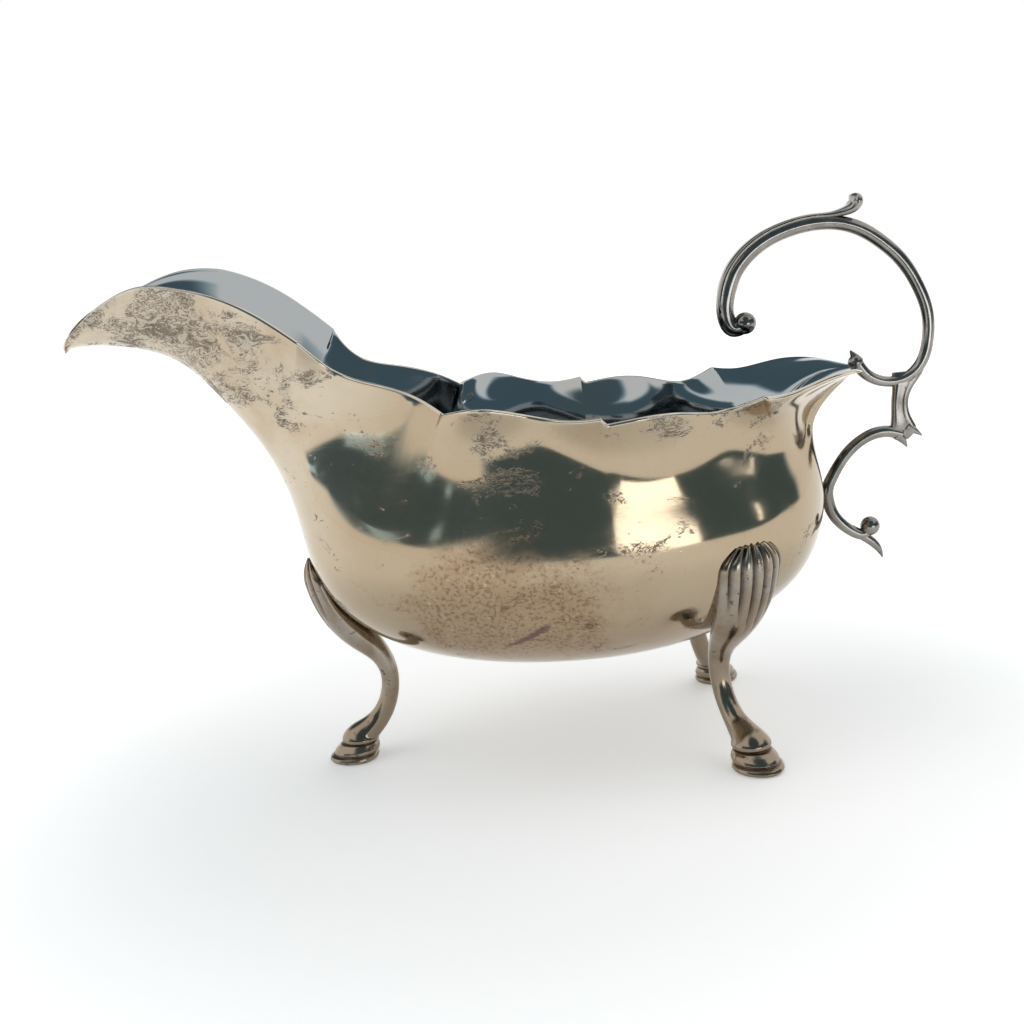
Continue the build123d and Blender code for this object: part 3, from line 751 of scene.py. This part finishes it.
studio = {
    "left": -1.3, "right": 1.3, "front": -0.27, "back": 2.2,
    # The paper: two tones, and its glow, a painted light that is dimmer under the bowl than away from it,
    # which paints a shadow round the bowl.
    "paper": [(0.93, 0.93, 0.93), (0.96, 0.96, 0.96)], "glow": 0.55,
    "glowTones": [(0.56, 0.56, 0.56), (1.0, 1.0, 1.0)], "glowReach": (0.07, 0.17),
    "wall": 1.2, "ceiling": 1.1, "room": 0.20, "wallTint": (1.0, 0.99, 0.97), "roomTint": (0.52, 0.82, 1.0),
    # Edges of the room, each with where it starts and ends to fade. Left and right are angles from straight
    # ahead of the bowl, top is a height on the unit sphere. Left of nearLeft it is narrower.
    "roomLeft": (-1.24, -1.17), "roomRight": (1.70, 1.85), "roomTop": (0.44, 0.56),
    "nearLeft": (-0.62, -0.50), "nearLeftFoot": (0.01, 0.05), "nearLeftTop": (0.42, 0.52),
    # Two dark places more, for the inside of the bowl, and how near to one a direction has to be.
    "doorways": [(0.05, -0.66, 0.75), (-0.35, 0.60, 0.72)], "doorwayEdge": (0.85, 0.92),
}
# Name, azimuth, elevation, distance, width, height, strength, colour.
lamps = [
    ("softbox", 29, -3, 0.8, 0.42, 0.17, 3.2, (1, 1, 1)),
    ("windowHigh", -62, 5, 0.8, 0.075, 0.075, 1.0, (0.55, 0.80, 1.0)),
    ("windowLow", -50, 6, 0.8, 0.035, 0.05, 0.9, (0.60, 0.85, 1.0)),
    ("striplight", 67, 4, 0.8, 0.014, 0.12, 4.0, (1, 1, 1)),
]
view = {"place": (0.00736, -0.24705, 0.10324), "turn": 1.967, "tip": 11.725, "roll": -6.624, "lens": 41.48,
        "sensor": 36.0}


def makeTable():
    corners = [(studio["left"], studio["front"], 0), (studio["right"], studio["front"], 0),
               (studio["right"], studio["back"], 0), (studio["left"], studio["back"], 0)]
    mesh = bpy.data.meshes.new("table")
    mesh.from_pydata(corners, [], [(0, 1, 2, 3)])
    table = bpy.data.objects.new("table", mesh)
    bpy.context.scene.collection.objects.link(table)
    material = bpy.data.materials.new("tablePaper")
    material.use_nodes = True
    bench = Bench(material.node_tree)
    grain = bench.noise(bench.place(), 600, 3, 0.5)
    tone = bench.mix(bench.ease(grain, 0.3, 0.7), *studio["paper"])
    away = bench.add("ShaderNodeVectorMath", {"operation": "LENGTH"}, {0: bench.place()}, 1)
    # Painted light and painted shadow: the paper glows, dimmer near the bowl and brighter away from it.
    lit = bench.mix(bench.ease(away, *studio["glowReach"]), *studio["glowTones"])
    shader = bench.add("ShaderNodeBsdfPrincipled", None,
                       {"Base Color": tone, "Roughness": 0.75, "Emission Color": lit,
                        "Emission Strength": studio["glow"]})
    bench.add("ShaderNodeOutputMaterial", None, {"Surface": shader})
    mesh.materials.append(material)


def makeWorld():
    world = bpy.data.worlds.new("studio")
    bpy.context.scene.world = world
    world.use_nodes = True
    bench = Bench(world.node_tree)
    toward = bench.add("ShaderNodeTexCoord")   # the way a ray goes out
    x, y, z = bench.split(toward)
    around = bench.add("ShaderNodeMath", {"operation": "ARCTAN2"}, {0: x, 1: y * -1.0})
    room = bench.ease(around, *studio["roomLeft"]) * bench.ease(around, *studio["roomRight"], 1.0, 0.0)
    room = room * bench.ease(z, *studio["roomTop"], 1.0, 0.0)
    nearLeft = bench.ease(around, *studio["nearLeft"], 1.0, 0.0)
    room = room * (1 - nearLeft * bench.ease(z, *studio["nearLeftFoot"], 1.0, 0.0))
    room = room * (1 - nearLeft * bench.ease(z, *studio["nearLeftTop"]))
    for direction in studio["doorways"]:
        doorway = bench.add("ShaderNodeVectorMath", {"operation": "DOT_PRODUCT"},
                            {0: toward, 1: direction}, 1)
        room = bench.larger(room, bench.ease(doorway, *studio["doorwayEdge"]))
    bright = bench.ease(z, -0.2, 1.0, studio["wall"], studio["ceiling"])
    level = bench.add("ShaderNodeMix", {"data_type": "FLOAT"}, {0: room, 2: bright, 3: studio["room"]})
    tint = bench.mix(room, studio["wallTint"], studio["roomTint"])
    light = bench.add("ShaderNodeBackground", None, {"Color": tint, "Strength": level})
    plain = bench.add("ShaderNodeBackground", None, {"Color": (1, 1, 1), "Strength": 1.0})
    seen = bench.add("ShaderNodeLightPath")   # the camera itself sees plain white
    both = bench.add("ShaderNodeMixShader", None, {0: seen, 1: light, 2: plain})
    bench.add("ShaderNodeOutputWorld", None, {"Surface": both})


def makeLamp(name, azimuth, elevation, distance, width, height, strength, colour):
    # An oblong light that faces the bowl, placed by the way it lies from it.
    a, e = math.radians(azimuth), math.radians(elevation)
    centre = np.array([0.0, 0.0, 0.05])
    toward = np.array([math.sin(a) * math.cos(e), -math.cos(a) * math.cos(e), math.sin(e)])
    lamp = bpy.data.lights.new(name, "AREA")
    lamp.shape = "RECTANGLE"
    lamp.size, lamp.size_y = width, height
    lamp.energy = strength * width * height * math.pi   # so that strength is how bright its face looks
    lamp.color = colour
    holder = bpy.data.objects.new(name, lamp)
    side = np.array([math.cos(a), math.sin(a), 0.0])
    matrix = np.eye(4)
    matrix[:3, 0], matrix[:3, 1], matrix[:3, 2] = side, np.cross(toward, side), toward
    matrix[:3, 3] = centre + toward * distance
    holder.matrix_world = Matrix(matrix.tolist())
    holder.visible_camera = False
    bpy.context.scene.collection.objects.link(holder)


def makeCamera():
    # Turned a little to the left, tipped down and rolled, with a long lens.
    turn, tip, roll = (math.radians(view[key]) for key in ("turn", "tip", "roll"))
    forward = np.array([-math.sin(turn) * math.cos(tip), math.cos(turn) * math.cos(tip), -math.sin(tip)])
    level = np.array([math.cos(turn), math.sin(turn), 0.0])
    above = np.cross(level, forward)
    right = math.cos(roll) * level + math.sin(roll) * above
    upright = -math.sin(roll) * level + math.cos(roll) * above
    data = bpy.data.cameras.new("camera")
    data.lens, data.sensor_width = view["lens"], view["sensor"]
    data.clip_start = 0.01
    camera = bpy.data.objects.new("camera", data)
    matrix = np.eye(4)
    matrix[:3, 0], matrix[:3, 1], matrix[:3, 2] = right, upright, -forward
    matrix[:3, 3] = view["place"]
    camera.matrix_world = Matrix(matrix.tolist())
    bpy.context.scene.collection.objects.link(camera)
    bpy.context.scene.camera = camera


makeTable()
makeWorld()
for lamp in lamps:
    makeLamp(*lamp)
makeCamera()
bpy.context.scene.view_settings.view_transform = "Standard"
print("sauce boat: studio ready")
